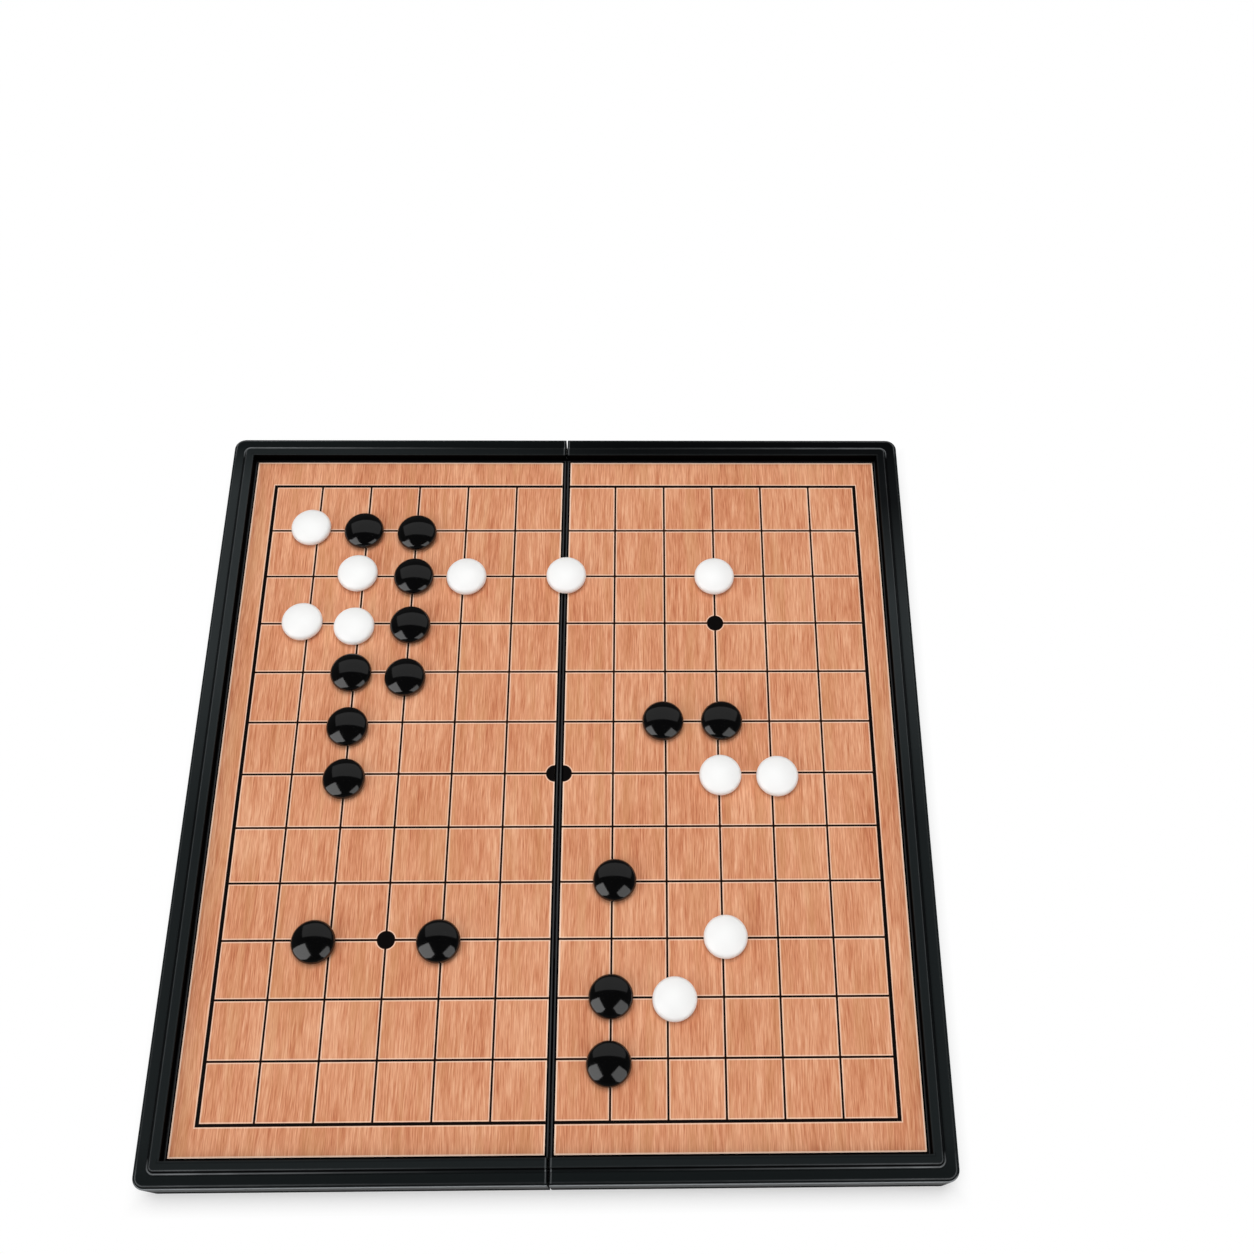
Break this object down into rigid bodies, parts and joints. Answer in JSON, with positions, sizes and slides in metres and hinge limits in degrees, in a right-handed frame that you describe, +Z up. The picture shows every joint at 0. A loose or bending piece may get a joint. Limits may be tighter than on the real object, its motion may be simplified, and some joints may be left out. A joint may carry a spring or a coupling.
{
  "type": "folding go set",
  "caption": "Folding board case in two hinged hollow halves with a stepped black rim, printed wood-grain playing sheets and domed magnetic stones standing on the lines.",
  "frame": {"origin": "on the surface the open case stands on, under the middle of the board", "axes": "+X towards the half that swings, +Y along the fold and away from the player, +Z up out of the playing surface"},
  "size_m": [0.2752, 0.2914, 0.0214],
  "materials": {
    "black_moulding": "satin black injection-moulded plastic with fine texture",
    "wood_print": "satin laminated print of reddish straight-grained wood with thin black lines",
    "steel_sheet": "thin galvanised sheet",
    "pin_steel": "drawn steel wire",
    "magnet_plating": "bright nickel plating",
    "foot_rubber": "matte black rubber",
    "white_stone": "smooth white plastic, soft gloss",
    "black_stone": "high gloss black plastic"
  },
  "bodies": {
    "left_half": {"left_tray": "black_moulding", "left_steel_sheet": "steel_sheet", "left_playing_sheet": "wood_print", "left_rubber_feet": "foot_rubber", "left_closing_magnets": "magnet_plating", "front_hinge_pin": "pin_steel", "back_hinge_pin": "pin_steel"},
    "right_half": {"right_tray": "black_moulding", "right_steel_sheet": "steel_sheet", "right_playing_sheet": "wood_print", "right_rubber_feet": "foot_rubber", "right_closing_magnets": "magnet_plating"},
    "white_stone_01": {"white_stone_01": "white_stone"},
    "white_stone_02": {"white_stone_02": "white_stone"},
    "white_stone_03": {"white_stone_03": "white_stone"},
    "white_stone_04": {"white_stone_04": "white_stone"},
    "white_stone_05": {"white_stone_05": "white_stone"},
    "white_stone_06": {"white_stone_06": "white_stone"},
    "black_stone_01": {"black_stone_01": "black_stone"},
    "black_stone_02": {"black_stone_02": "black_stone"},
    "black_stone_03": {"black_stone_03": "black_stone"},
    "black_stone_04": {"black_stone_04": "black_stone"},
    "black_stone_05": {"black_stone_05": "black_stone"},
    "black_stone_06": {"black_stone_06": "black_stone"},
    "black_stone_07": {"black_stone_07": "black_stone"},
    "black_stone_08": {"black_stone_08": "black_stone"},
    "black_stone_09": {"black_stone_09": "black_stone"},
    "black_stone_10": {"black_stone_10": "black_stone"},
    "white_stone_07": {"white_stone_07": "white_stone"},
    "white_stone_08": {"white_stone_08": "white_stone"},
    "white_stone_09": {"white_stone_09": "white_stone"},
    "white_stone_10": {"white_stone_10": "white_stone"},
    "white_stone_11": {"white_stone_11": "white_stone"},
    "black_stone_11": {"black_stone_11": "black_stone"},
    "black_stone_12": {"black_stone_12": "black_stone"},
    "black_stone_13": {"black_stone_13": "black_stone"},
    "black_stone_14": {"black_stone_14": "black_stone"},
    "black_stone_15": {"black_stone_15": "black_stone"}
  },
  "joints": [
    {"name": "board_fold", "type": "hinge", "parent": "left_half", "child": "right_half", "pos_m": [0, 0, 0.0022], "axis": [0, 1, 0], "range_deg": [0, 180]},
    {"name": "white_stone_01_lift", "type": "slide", "parent": "left_half", "child": "white_stone_01", "axis": [0, 0, 1], "range_m": [0, 0.025]},
    {"name": "white_stone_02_lift", "type": "slide", "parent": "left_half", "child": "white_stone_02", "axis": [0, 0, 1], "range_m": [0, 0.025]},
    {"name": "white_stone_03_lift", "type": "slide", "parent": "left_half", "child": "white_stone_03", "axis": [0, 0, 1], "range_m": [0, 0.025]},
    {"name": "white_stone_04_lift", "type": "slide", "parent": "left_half", "child": "white_stone_04", "axis": [0, 0, 1], "range_m": [0, 0.025]},
    {"name": "white_stone_05_lift", "type": "slide", "parent": "left_half", "child": "white_stone_05", "axis": [0, 0, 1], "range_m": [0, 0.025]},
    {"name": "white_stone_06_lift", "type": "slide", "parent": "left_half", "child": "white_stone_06", "axis": [0, 0, 1], "range_m": [0, 0.025]},
    {"name": "black_stone_01_lift", "type": "slide", "parent": "left_half", "child": "black_stone_01", "axis": [0, 0, 1], "range_m": [0, 0.025]},
    {"name": "black_stone_02_lift", "type": "slide", "parent": "left_half", "child": "black_stone_02", "axis": [0, 0, 1], "range_m": [0, 0.025]},
    {"name": "black_stone_03_lift", "type": "slide", "parent": "left_half", "child": "black_stone_03", "axis": [0, 0, 1], "range_m": [0, 0.025]},
    {"name": "black_stone_04_lift", "type": "slide", "parent": "left_half", "child": "black_stone_04", "axis": [0, 0, 1], "range_m": [0, 0.025]},
    {"name": "black_stone_05_lift", "type": "slide", "parent": "left_half", "child": "black_stone_05", "axis": [0, 0, 1], "range_m": [0, 0.025]},
    {"name": "black_stone_06_lift", "type": "slide", "parent": "left_half", "child": "black_stone_06", "axis": [0, 0, 1], "range_m": [0, 0.025]},
    {"name": "black_stone_07_lift", "type": "slide", "parent": "left_half", "child": "black_stone_07", "axis": [0, 0, 1], "range_m": [0, 0.025]},
    {"name": "black_stone_08_lift", "type": "slide", "parent": "left_half", "child": "black_stone_08", "axis": [0, 0, 1], "range_m": [0, 0.025]},
    {"name": "black_stone_09_lift", "type": "slide", "parent": "left_half", "child": "black_stone_09", "axis": [0, 0, 1], "range_m": [0, 0.025]},
    {"name": "black_stone_10_lift", "type": "slide", "parent": "left_half", "child": "black_stone_10", "axis": [0, 0, 1], "range_m": [0, 0.025]},
    {"name": "white_stone_07_lift", "type": "slide", "parent": "right_half", "child": "white_stone_07", "axis": [0, 0, 1], "range_m": [0, 0.025]},
    {"name": "white_stone_08_lift", "type": "slide", "parent": "right_half", "child": "white_stone_08", "axis": [0, 0, 1], "range_m": [0, 0.025]},
    {"name": "white_stone_09_lift", "type": "slide", "parent": "right_half", "child": "white_stone_09", "axis": [0, 0, 1], "range_m": [0, 0.025]},
    {"name": "white_stone_10_lift", "type": "slide", "parent": "right_half", "child": "white_stone_10", "axis": [0, 0, 1], "range_m": [0, 0.025]},
    {"name": "white_stone_11_lift", "type": "slide", "parent": "right_half", "child": "white_stone_11", "axis": [0, 0, 1], "range_m": [0, 0.025]},
    {"name": "black_stone_11_lift", "type": "slide", "parent": "right_half", "child": "black_stone_11", "axis": [0, 0, 1], "range_m": [0, 0.025]},
    {"name": "black_stone_12_lift", "type": "slide", "parent": "right_half", "child": "black_stone_12", "axis": [0, 0, 1], "range_m": [0, 0.025]},
    {"name": "black_stone_13_lift", "type": "slide", "parent": "right_half", "child": "black_stone_13", "axis": [0, 0, 1], "range_m": [0, 0.025]},
    {"name": "black_stone_14_lift", "type": "slide", "parent": "right_half", "child": "black_stone_14", "axis": [0, 0, 1], "range_m": [0, 0.025]},
    {"name": "black_stone_15_lift", "type": "slide", "parent": "right_half", "child": "black_stone_15", "axis": [0, 0, 1], "range_m": [0, 0.025]}
  ]
}
